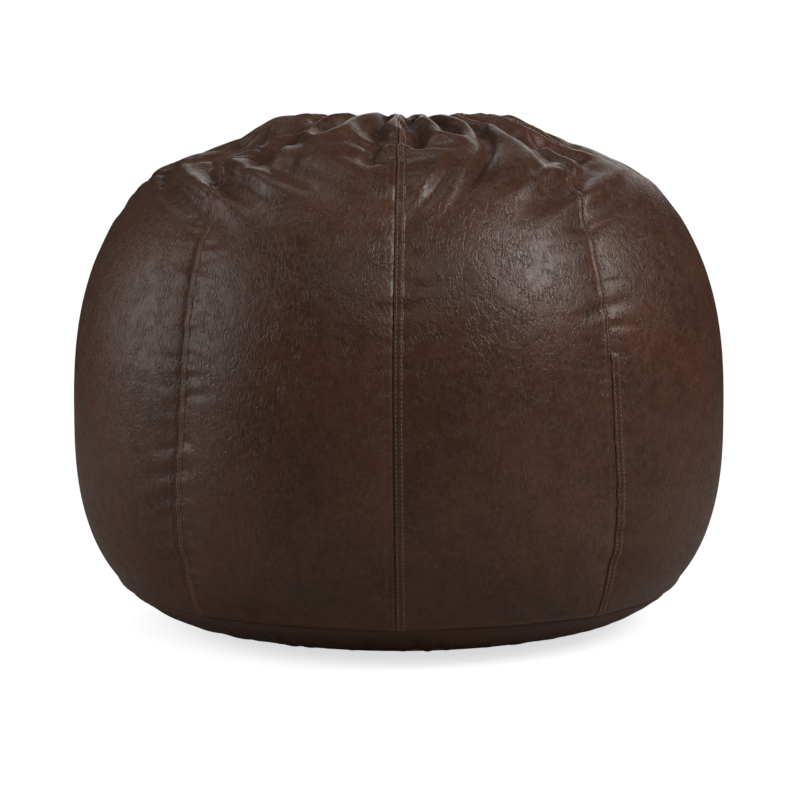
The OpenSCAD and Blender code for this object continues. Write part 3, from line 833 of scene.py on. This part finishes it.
def make_base():
    """The base panel: flat on the floor out to the foot, then up the outline to the base seam, or to
    the zip's lower edge round the back. It rolls softly off the floor near the foot's edge, and shallow
    wrinkles run up it and die out on the floor."""
    rng = np.random.default_rng(9)
    cols = 560
    phi = (np.arange(cols) + 0.5) / cols * WHOLE
    rear = (phi < HALF)[None]
    flat = np.linspace(0.001, 0.97, 24)[:, None]
    t = np.concatenate([np.linspace(0, 0.9, 40), np.linspace(0.91, 1, 14)])[:, None]
    edge = foot.length - SLOT * rear
    s = t * edge
    r, z, nr, nz = foot.at(s)
    from_edge = edge - s
    wrinkle = waves(rng, cols, (30, 80), 14) + 0.7 * waves(rng, cols, (90, 150), 8)
    rise = smooth(s, 0.01, 0.06) * (1 - smooth(s, 0.75 * edge, edge))
    lift = 0.0010 * wrinkle * rise + 0.0022 * bell(from_edge - 0.010, 0.008) * ~rear
    lift = lift - 0.0022 * np.exp(-from_edge / 0.002)
    lift = lift + rear * 0.0011 * (1 - smooth(from_edge, 0.006, 0.009))  # the hem beside the zip
    ripple = 1 + 0.05 * waves(rng, cols, (5, 40), 12)
    roll = ROLL * ripple * smooth(r, FLAT_R, FOOT_R) * (1 - smooth(r, FOOT_R, 0.40))
    at = around(r + lift * nr, np.maximum(z + lift * nz + roll, 0), phi[None])
    under = FOOT_R * flat
    at = np.concatenate([around(under, ROLL * ripple * smooth(under, FLAT_R, FOOT_R), phi[None]),
                         at])[::-1]
    uv = at[..., :2] + [12, 0]
    along = np.concatenate([0 * flat + 0 * phi, s + 0 * phi])[::-1]
    uv = uv * (1 + along / FOOT_R)[..., None]
    # Lighter by the base seam's edge and where the base rolls off the floor: partly rubbing, partly a
    # painted highlight.
    wear = np.concatenate([0 * flat + 0 * phi, bell(from_edge - 0.004, 0.003) + 0 * phi
                           + 0.6 * bell(s - 0.01, 0.02)])[::-1]
    piece = make_piece("base_panel_cloth", at, grid_faces(*at.shape[:2], closed=True)[:, ::-1], uv, wear)
    finish_piece(thicken(piece, CLOTH_T), "bag", BASE_LEATHER_PAINTED_BOUNCE, ["base_panel"])


make_cap()
cap_stitches()
make_base()


# ---- Materials of the inside, the zips and the label --------
def woven(name, light, dark, threads, depth, rough):
    """Plain woven cloth: two sets of threads that cross, with slubs and a little unevenness; the colour
    is darker where the threads are low, a painted shade between them.
    """
    f = Finish(name)
    cloth = f.cloth()
    warp, weft = (f.add("ShaderNodeTexWave", {"bands_direction": way, "wave_profile": "SIN"},
                        {"Vector": cloth, "Scale": threads, "Distortion": 0.6, "Detail": 1.0})
                  for way in ("X", "Y"))
    weave = warp * weft
    slub = f.noise(f.stretched(cloth, (1.0, 6.0, 1.0)), 40.0, 3.0)
    # Painted shade: the colour darkens where the weave is low, between the threads; the slubs are the
    # thread's own uneven tone.
    colour = f.mixed(weave * 0.6 + slub * 0.4, dark, light)
    return f.shade(Base_Color=colour, Roughness=rough, Normal=f.relief(weave, depth))


def coil_nylon(name, dark, light):
    """Moulded nylon: smooth, slightly uneven."""
    f = Finish(name)
    speck = f.noise(f.place(), 900.0, 2.0)
    colour = f.mixed(speck, dark, light)
    return f.shade(Base_Color=colour, Roughness=f.between(speck, 0.3, 0.7, 0.28, 0.42),
                   Normal=f.relief(speck, 0.00005))


def antique_brass():
    """Plated brass: darker and lighter in random patches, with fine scratches."""
    f = Finish("antique_brass")
    place = f.place()
    cloud = f.noise(place, 220.0, 4.0)
    scratch = f.noise(f.stretched(place, (1.0, 1.0, 9.0)), 900.0, 2.0)
    colour = f.mixed(f.between(cloud, 0.35, 0.65), (0.11, 0.075, 0.035), (0.33, 0.24, 0.125))
    return f.shade(Base_Color=colour, Metallic=f.between(cloud, 0.3, 0.6, 0.85, 1.0),
                   Roughness=f.between(scratch, 0.3, 0.7, 0.24, 0.42),
                   Normal=f.relief(scratch, 0.00003))


def white_enamel():
    """Baked enamel on a pressed slider: white, with grey scuffs where the metal is near."""
    f = Finish("white_enamel")
    scuff = f.between(f.noise(f.place(), 700.0, 4.0, 0.65), 0.55, 0.72)
    colour = f.mixed(scuff, (0.72, 0.71, 0.67), (0.42, 0.41, 0.39))
    return f.shade(Base_Color=colour, Roughness=0.3 + 0.25 * scuff,
                   Normal=f.relief(f.noise(f.place(), 300.0, 2.0), 0.00006))


def foam_beads():
    """Expanded beads: round white grains packed side by side, greyer towards each grain's edge as
    painted shade between the grains.
    """
    f = Finish("foam_beads")
    grain = f.add("ShaderNodeTexVoronoi", {"feature": "F1"}, {"Vector": f.place(), "Scale": 210.0})
    # Painted shade: each grain turns grey towards its edge, where shade would fall between the beads.
    colour = f.mixed(f.between(grain, 0.25, 0.7), (0.86, 0.86, 0.84), (0.52, 0.52, 0.50))
    return f.shade(Base_Color=colour, Roughness=f.between(grain, 0.2, 0.7, 0.45, 0.7),
                   Normal=f.relief(1 - grain, 0.0025))


COTTON = woven("liner_cotton", (0.66, 0.62, 0.53), (0.44, 0.41, 0.34), 260.0, 0.00018, 0.85)
TAPE = woven("zip_tape", (0.052, 0.031, 0.023), (0.019, 0.012, 0.009), 520.0, 0.00012, 0.75)
LABEL_CLOTH = woven("label_cloth", (0.80, 0.78, 0.73), (0.62, 0.60, 0.55), 700.0, 0.00006, 0.6)
LINER_TAPE = woven("liner_zip_tape", (0.80, 0.78, 0.72), (0.60, 0.58, 0.52), 520.0, 0.00012, 0.75)
NYLON = coil_nylon("coil_nylon", (0.016, 0.011, 0.009), (0.030, 0.021, 0.017))
LINER_NYLON = coil_nylon("liner_coil_nylon", (0.70, 0.69, 0.65), (0.82, 0.81, 0.77))
BRASS, ENAMEL, BEADS = antique_brass(), white_enamel(), foam_beads()

# ---- Liner and fill --------
LINER_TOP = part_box("liner_top_rear")[1].z
FILL_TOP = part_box("bead_fill")[1].z
SLOT_END = 0.200  # half the length of the liner's opening


def least_of(x, reach):
    """Least value within reach rows and columns of each grid point, then evened out over less."""
    for axis in (0, 1):
        wide = np.concatenate([x[:1]] * reach + [x] + [x[-1:]] * reach) if axis == 0 else x
        shifts = range(2 * reach + 1) if axis == 0 else range(-reach, reach + 1)
        x = np.min([wide[i:i + len(x)] if axis == 0 else np.roll(x, i, 1) for i in shifts], 0)
    for _ in range(reach // 2):
        wide = np.concatenate([x[:1], x, x[-1:]])
        x = (wide[:-2] + x + wide[2:]) / 3
        x = (np.roll(x, 1, 1) + x + np.roll(x, -1, 1)) / 3
    return x


side_r, side_z, side_nr, side_nz = (v[:, None] for v in side.at(fill.s))
valley = np.einsum("...i,...i->...", cloth - around(side_r, side_z, fill.phi), fill.out)
valley = least_of(np.minimum(valley, 0), 6)


def inner_side(gap):
    """The side of what is inside the cover: the outline, moved in by gap and by the depth of the
    cover's deepest fold nearby."""
    off = valley - gap
    return around(side_r + off * side_nr, side_z + off * side_nz, fill.phi)


def inner_foot(gap, phi, rings=40):
    """The underside of what is inside the cover, from its middle to the base seam."""
    flat = np.linspace(0.002, 1, 20)[:, None] * FOOT_R
    s = np.linspace(0, foot.length, rings)[1:, None]
    r, z, nr, nz = foot.at(s)
    return np.concatenate([around(flat, gap + 0 * flat, phi),
                           around(r - gap * nr, np.maximum(z - gap * nz, gap), phi)])


RING, SECTORS = 0.004, 48  # width of the roof's rings, and how many sectors they have


def roof(x, y, gap):
    """Height under the cover's lowest fold near each place: the least height in narrow rings and
    sectors and their neighbours, read between the sectors' middles."""
    under = inner_side(gap)
    ring = np.clip((np.hypot(under[..., 0], under[..., 1]) / RING).astype(int), 0, 99)
    sector = (np.arctan2(under[..., 1], under[..., 0]) / WHOLE * SECTORS + SECTORS).astype(int)
    low = np.full((SECTORS, 102), 1.0)
    for aside in (-1, 0, 1):
        for beside in (0, 1, 2):
            np.minimum.at(low, ((sector + aside) % SECTORS, ring + beside), under[..., 2])
    low = np.minimum(low, low.min(0)[int(CAP_R / RING) + 4])
    r = np.clip(np.hypot(x, y) / RING + 1, 0, 100)
    turn = (np.arctan2(y, x) / WHOLE * SECTORS + SECTORS - 0.5) % SECTORS
    i, j = np.floor(turn).astype(int) % SECTORS, np.floor(r).astype(int)
    u, v = turn - np.floor(turn), r - j
    k = (i + 1) % SECTORS
    return ((1 - u) * ((1 - v) * low[i, j] + v * low[i, j + 1])
            + u * ((1 - v) * low[k, j] + v * low[k, j + 1]))


TOP_ROW = int(np.argmax(side_z[:, 0] > LINER_TOP - 0.004))
LINER_GAP, LINER_T = 0.0062, 0.001


def liner_piece(name, at, faces, uv, replaced):
    """A piece of the liner, with its thickness."""
    piece = thicken(make_piece(name, at, faces, uv), LINER_T)
    finish_piece(piece, "bag", COTTON, [replaced])


def make_liner():
    """The liner: four quarters of the side, a base, and a top in two halves that meet at the zip. The
    top drops to the side's own upper edge near it."""
    rows = np.unique(np.append(np.arange(TOP_ROW, -1, -2), 0))
    whole = inner_side(LINER_GAP)[rows, ::2]
    for quarter in range(4):
        here = np.arange(64 * quarter, 64 * quarter + 65) % 256
        at = whole[:, here]
        across = np.linspace(-1, 1, 65) * side_r[rows] * QUARTER / 2
        uv = np.stack([across, fill.s[rows, None] + 0 * across], -1)
        number = (quarter + 3) % 4 + 1
        liner_piece(f"liner_side_{number}", at, grid_faces(*at.shape[:2]), uv, f"liner_gore_{number}")
    at = inner_foot(LINER_GAP, fill.phi[:1, ::2])[::-1]
    faces = grid_faces(*at.shape[:2], closed=True)[:, ::-1]
    liner_piece("liner_bottom", at, faces, at[..., :2], "liner_base")
    for half, first, y in (("front", 192, -SLOT), ("rear", 64, SLOT)):
        ring = whole[-1, np.arange(first, first + 129) % 256]
        t = np.linspace(0, 1, 129)
        ends = SLOT_END * (1 if half == "rear" else -1)
        slot = np.stack([ends * np.interp(t, [0, 0.04, 0.96, 1], [1, 1, -1, -1]),
                         y * np.interp(t, [0, 0.04, 0.96, 1], [0, 1, 1, 0]), LINER_TOP + 0 * t], -1)
        share = np.linspace(0, 1, 44)[:, None, None] ** 1.4
        at = ring + (slot - ring) * share
        gone = np.linalg.norm((at - ring)[..., :2], axis=-1)
        at[..., 2] = (LINER_TOP - (LINER_TOP - ring[:, 2]) * np.exp(-gone / 0.035)
                      + 0.0012 * np.sin(t * 90)[None] * np.exp(-gone / 0.02) * (gone > 0))
        low = roof(at[..., 0], at[..., 1], LINER_GAP)
        drop = np.maximum(ring[:, 2] - low[0], 0) * np.exp(-gone / 0.010)
        at[..., 2] = np.minimum(at[..., 2], low + drop)
        liner_piece(f"liner_lid_{half}", at, grid_faces(*at.shape[:2]), at[..., :2],
                    f"liner_top_{half}")


def make_beads():
    """The fill: one closed surface inside the liner, flat on top, with a slightly lumpy skin."""
    gap = LINER_GAP + LINER_T + 0.0012
    rows = int(np.argmax(side_z[:, 0] > FILL_TOP - 0.004))
    up = inner_side(gap)[:rows][::-2, ::2][::-1]
    up[..., 2] = np.minimum(up[..., 2], FILL_TOP - 0.001)
    share = np.linspace(0, 1, 60)[1:, None, None] ** 0.8 * 0.998
    top = up[-1] * (1 - share)
    top[..., 2] = up[-1, :, 2] + (FILL_TOP - 0.001 - up[-1, :, 2]) * smooth(share[..., 0], 0, 0.2)
    low = roof(top[..., 0], top[..., 1], gap)
    fall = np.maximum(up[-1, :, 2] - low[0], 0) * np.exp(-np.linalg.norm(top - up[-1], axis=-1) / 0.010)
    top[..., 2] = np.minimum(top[..., 2], low + fall)
    at = np.concatenate([inner_foot(gap, fill.phi[:1, ::2])[:-1], up, top])
    rng = np.random.default_rng(3)
    at = at - 0.0008 * rng.random(at.shape[:2])[..., None] * unit(at - [0, 0, 0.35])
    piece = make_piece("bead_heap", at, closed_tube(*at.shape[:2]), at[..., :2])
    finish_piece(piece, "bag", BEADS, ["bead_fill"])


make_liner()
make_beads()

# ---- Zips --------
TAPE_T, TAPE_W, COIL_W, PART = 0.0006, 0.014, 0.003, 0.00045
TAPE_BACK = CLOTH_T + 0.0001 + TAPE_T / 2  # from the cover's skin to the middle of a tape
COIL_MID = TAPE_T / 2 + 0.0001 + 0.0011  # from the middle of a tape to the middle of its coil
zip_r, zip_z, zip_nr, zip_nz = (float(v) for v in foot.at(foot.length))
ZIP_R, ZIP_Z = zip_r - TAPE_BACK * zip_nr, zip_z - TAPE_BACK * zip_nz
ZIP_OUT, ZIP_UP = (zip_nr, zip_nz), (-zip_nz, zip_nr)


def round_zip(angle, out, across):
    """A point by the cover's zip: at an angle round the bag, out of the cloth and up across the zip,
    from the middle of the tapes."""
    return around(ZIP_R + out * ZIP_OUT[0] + across * ZIP_UP[0],
                  ZIP_Z + out * ZIP_OUT[1] + across * ZIP_UP[1], angle)


def strip(name, point, start, end, count, material, replaced, flip):
    """A woven tape: a flat strip with a thicker cord along its inner edge, as one closed profile
    carried along the way. point gives a place from the way along, the height out of the tape and the
    way across."""
    across = np.array([PART, PART, 0.0012, 0.0030, 0.0050, 0.0130, 0.0142, PART + TAPE_W, PART + TAPE_W,
                       0.0142, 0.0130, 0.0050, 0.0030, 0.0012])
    high = np.array([-0.5, 0.5, 0.5, 0.5, 0.42, 0.42, 0.5,
                     0.42, -0.42, -0.5, -0.5, -0.5, -0.5, -0.5]) * TAPE_T
    way = np.linspace(start, end, count)[:, None]
    at = point(way, high[None], across[None])
    around_it = np.cumsum(np.abs(np.diff(across, prepend=across[0])))
    steps = np.linalg.norm(np.diff(at[:, 0], axis=0), axis=-1)
    gone = np.concatenate([[0], np.cumsum(steps)])
    uv = np.stack(np.broadcast_arrays(around_it[None], gone[:, None]), -1)
    piece = make_piece(name, at, closed_tube(*at.shape[:2], 1, flip), uv)
    finish_piece(piece, "bag", material, [replaced])


def coil_row(name, centre, across, out, material, replaced):
    """A row of coil: one tooth after another, each lying across the tape with its head inwards."""
    piece = make_piece(name, *join_rows([tubes(centre, across, out, TOOTH)]))
    finish_piece(piece, "bag", material, [replaced])


TOOTH_PITCH = 0.0016
TAPE_TURN = 0.0087  # angle between the middle of a side and the tapes' ends
coil_start = math.radians(20)  # the tapes are sewn shut before this
teeth = np.arange(coil_start, HALF - coil_start, TOOTH_PITCH / ZIP_R)
out_there = around(ZIP_OUT[0], ZIP_OUT[1], teeth)
up_there = around(ZIP_UP[0], ZIP_UP[1], teeth)
for way, half in ((1, "upper"), (-1, "lower")):
    strip(f"zip_{half}_tape", lambda a, o, c, w=way: round_zip(a, o, w * c),
          TAPE_TURN, HALF - TAPE_TURN, 361, TAPE, f"cover_zip_tape_{half}", way > 0)
    shift = 0.5 * TOOTH_PITCH / ZIP_R * (way > 0)
    here = round_zip(teeth + shift, COIL_MID, way * (PART + COIL_W / 2))
    coil_row(f"zip_{half}_coil", here, -way * up_there, out_there,
             NYLON, f"cover_zip_coil_{half}")

LINER_ZIP_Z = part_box("liner_zip_tape_rear")[0].z + TAPE_T / 2
TAPE_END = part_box("liner_zip_tape_rear")[1].x
COIL_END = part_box("liner_zip_coil_rear")[1].x
places = np.arange(-COIL_END + 0.0008, COIL_END - 0.0008, TOOTH_PITCH)
level = np.ones_like(places)[:, None]


def straight_zip(x, out, across):
    """A point by the liner's zip: along it, up out of it, and across it from its middle."""
    return np.stack(np.broadcast_arrays(x, across, LINER_ZIP_Z + out), -1)


for way, half in ((1, "rear"), (-1, "front")):
    strip(f"liner_{half}_tape", lambda a, o, c, w=way: straight_zip(a, o, w * c), -TAPE_END,
          TAPE_END, 41, LINER_TAPE, f"liner_zip_tape_{half}", way > 0)
    here = straight_zip(places + 0.0004 * way, COIL_MID, way * (PART + COIL_W / 2))
    coil_row(f"liner_{half}_coil", here, level * [0, -way, 0], level * [0, 0, 1.0],
             LINER_NYLON, f"liner_zip_coil_{half}")

for node, metal in (("cover_zip_stops", BRASS), ("cover_zip_slider", BRASS), ("cover_zip_pull", BRASS),
                    ("liner_zip_stops", ENAMEL), ("liner_zip_slider", ENAMEL)):
    nodes[node].data.materials.clear()
    nodes[node].data.materials.append(metal)


ZIP_ROW = 0.0025  # distance of the stitches from the cloth's edges beside the zip
LOWER_R = 0.396  # radius of the lower of those edges


def zip_edge_stitches():
    """Stitches along the cloth's two edges beside the zip."""
    parts = []
    for gore in (2, 3, 4, 5):
        width = float(cut_width(gore, np.array(SLOT + ZIP_ROW)))
        u = np.arange(0.003, width - 0.002, PITCH) / width
        at, out = cover_skin(gore, np.full_like(u, SLOT + ZIP_ROW), u)
        parts.append(tubes(at + 0.0009 * out, unit(np.gradient(at, axis=0)), out, STITCH))
    phi = np.arange(0.010, HALF - 0.010, PITCH / LOWER_R)
    r, z, nr, nz = foot.at(foot.length - SLOT - ZIP_ROW)
    out = around(nr, nz, phi)
    at = around(r, z, phi) + 0.0007 * out
    parts.append(tubes(at, unit(np.gradient(at, axis=0)), out, STITCH))
    sew("zip_edge_topstitching", parts, "zip_edge_thread")


zip_edge_stitches()


# ---- Care label --------
LABEL_W, LABEL_L = 0.055, 0.034


def make_label():
    """A blank care label: a strip of woven tape that hangs from the lower edge of the zip, with a
    rolled top edge and a slight wave."""
    x = np.linspace(-0.5, 0.5, 56)[None]
    y = np.linspace(0, 1, 36)[:, None]
    angle = math.radians(118) + x * LABEL_W / ZIP_R
    out = (0.00285 + 0.0010 * y + 0.0007 * np.sin(5.5 * x + 2 * y) * y
           + 0.0006 * bell(y - 0.05, 0.06) + 0.0010 * y ** 2 * (2 * x) ** 2)
    at = round_zip(angle, out, -SLOT - LABEL_L * y)
    uv = np.stack(np.broadcast_arrays(x * LABEL_W, y * LABEL_L), -1)
    piece = make_piece("hanging_label", at, grid_faces(*at.shape[:2])[:, ::-1], uv)
    thicken(piece, 0.0005)
    finish_piece(piece, "bag", LABEL_CLOTH, ["care_label"])


make_label()


# ---- Studio --------
def for_camera(tree, others, camera, output):
    """Ends a node tree so that the camera's rays meet one shader and all other rays another."""
    mix, path, out = (tree.nodes.new(k) for k in ("ShaderNodeMixShader", "ShaderNodeLightPath", output))
    for a, b in ((path.outputs["Is Camera Ray"], mix.inputs[0]), (others.outputs[0], mix.inputs[1]),
                 (camera.outputs[0], mix.inputs[2]), (mix.outputs[0], out.inputs["Surface"])):
        tree.links.new(a, b)


def make_floor():
    """A pale floor that fades to white away from the bag, and that is dimmer in its bounced light."""
    mesh = bpy.data.meshes.new("floor")
    mesh.from_pydata([(-40, -40, 0), (40, -40, 0), (40, 40, 0), (-40, 40, 0)], [], [(0, 1, 2, 3)])
    material = bpy.data.materials.new("floor")
    material.use_nodes = True
    tree = material.node_tree
    tree.nodes.clear()
    pale, dim = (tree.nodes.new("ShaderNodeBsdfDiffuse") for _ in range(2))
    pale.inputs[0].default_value = (3.4, 3.4, 3.4, 1)
    dim.inputs[0].default_value = (0.52, 0.485, 0.46, 1)
    white = tree.nodes.new("ShaderNodeEmission")
    white.inputs[0].default_value, white.inputs[1].default_value = (1, 1, 1, 1), 1.02
    place, length, far = (tree.nodes.new(k) for k in (
        "ShaderNodeTexCoord", "ShaderNodeVectorMath", "ShaderNodeMapRange"))
    length.operation, far.interpolation_type = "LENGTH", "SMOOTHSTEP"
    far.inputs["From Min"].default_value, far.inputs["From Max"].default_value = 0.27, 0.44
    far.inputs["To Min"].default_value = 0.66
    lit = tree.nodes.new("ShaderNodeMixShader")
    for a, b in ((place.outputs["Object"], length.inputs[0]),
                 (length.outputs["Value"], far.inputs["Value"]), (far.outputs[0], lit.inputs[0]),
                 (pale.outputs[0], lit.inputs[1]), (white.outputs[0], lit.inputs[2])):
        tree.links.new(a, b)
    for_camera(tree, dim, lit, "ShaderNodeOutputMaterial")
    mesh.materials.append(material)
    placed("floor", mesh)


def make_light(name, place, aim, size, power):
    """A soft rectangular light at a place, turned to a point."""
    data = bpy.data.lights.new(name, "AREA")
    data.shape, data.size, data.size_y, data.energy = "RECTANGLE", *size, power
    light = placed(name, data)
    light.location = place
    light.rotation_euler = (Vector(aim) - Vector(place)).to_track_quat("-Z", "Y").to_euler()


def make_studio():
    """Two large soft boxes, a narrow one above, faint fills from behind and in front, a dim room and
    a white backdrop."""
    make_light("left_box", (-2.5, -0.4, 1.1), (0, 0, 0.45), (1.8, 1.6), 17)
    make_light("right_box", (1.9, -1.25, 2.1), (0, 0, 0.5), (1.4, 1.4), 36)
    make_light("top_box", (-1.1, 0.1, 2.9), (0, 0, 0.6), (0.9, 1.6), 7)
    make_light("rear_fill", (0.5, 3.3, 1.9), (0, 0, 0.4), (2.4, 1.4), 14)
    make_light("front_fill", (0, -3.4, 3.2), (0, 0, 0.4), (2.4, 1.6), 12)
    world = bpy.context.scene.world or bpy.data.worlds.new("studio")
    bpy.context.scene.world = world
    world.use_nodes = True
    tree = world.node_tree
    tree.nodes.clear()
    room, white = (tree.nodes.new("ShaderNodeBackground") for _ in range(2))
    room.inputs[0].default_value, room.inputs[1].default_value = (0.95, 0.97, 1, 1), 0.035
    white.inputs[0].default_value, white.inputs[1].default_value = (1, 1, 1, 1), 1.02
    for_camera(tree, room, white, "ShaderNodeOutputWorld")
    bpy.context.scene.view_settings.view_transform = "Standard"


def make_camera():
    """A camera in front of the bag, a little below its rim, tipped down."""
    data = bpy.data.cameras.new("camera")
    data.lens, data.sensor_width = 110.2, 36
    camera = placed("camera", data)
    aside = math.radians(0.55)
    camera.location = (3.6 * math.sin(aside), -3.6 * math.cos(aside), 0.715)
    camera.rotation_euler = (math.radians(83.8), 0, aside)
    data.shift_x = 0.00125
    bpy.context.scene.camera = camera


make_floor()
make_studio()
make_camera()
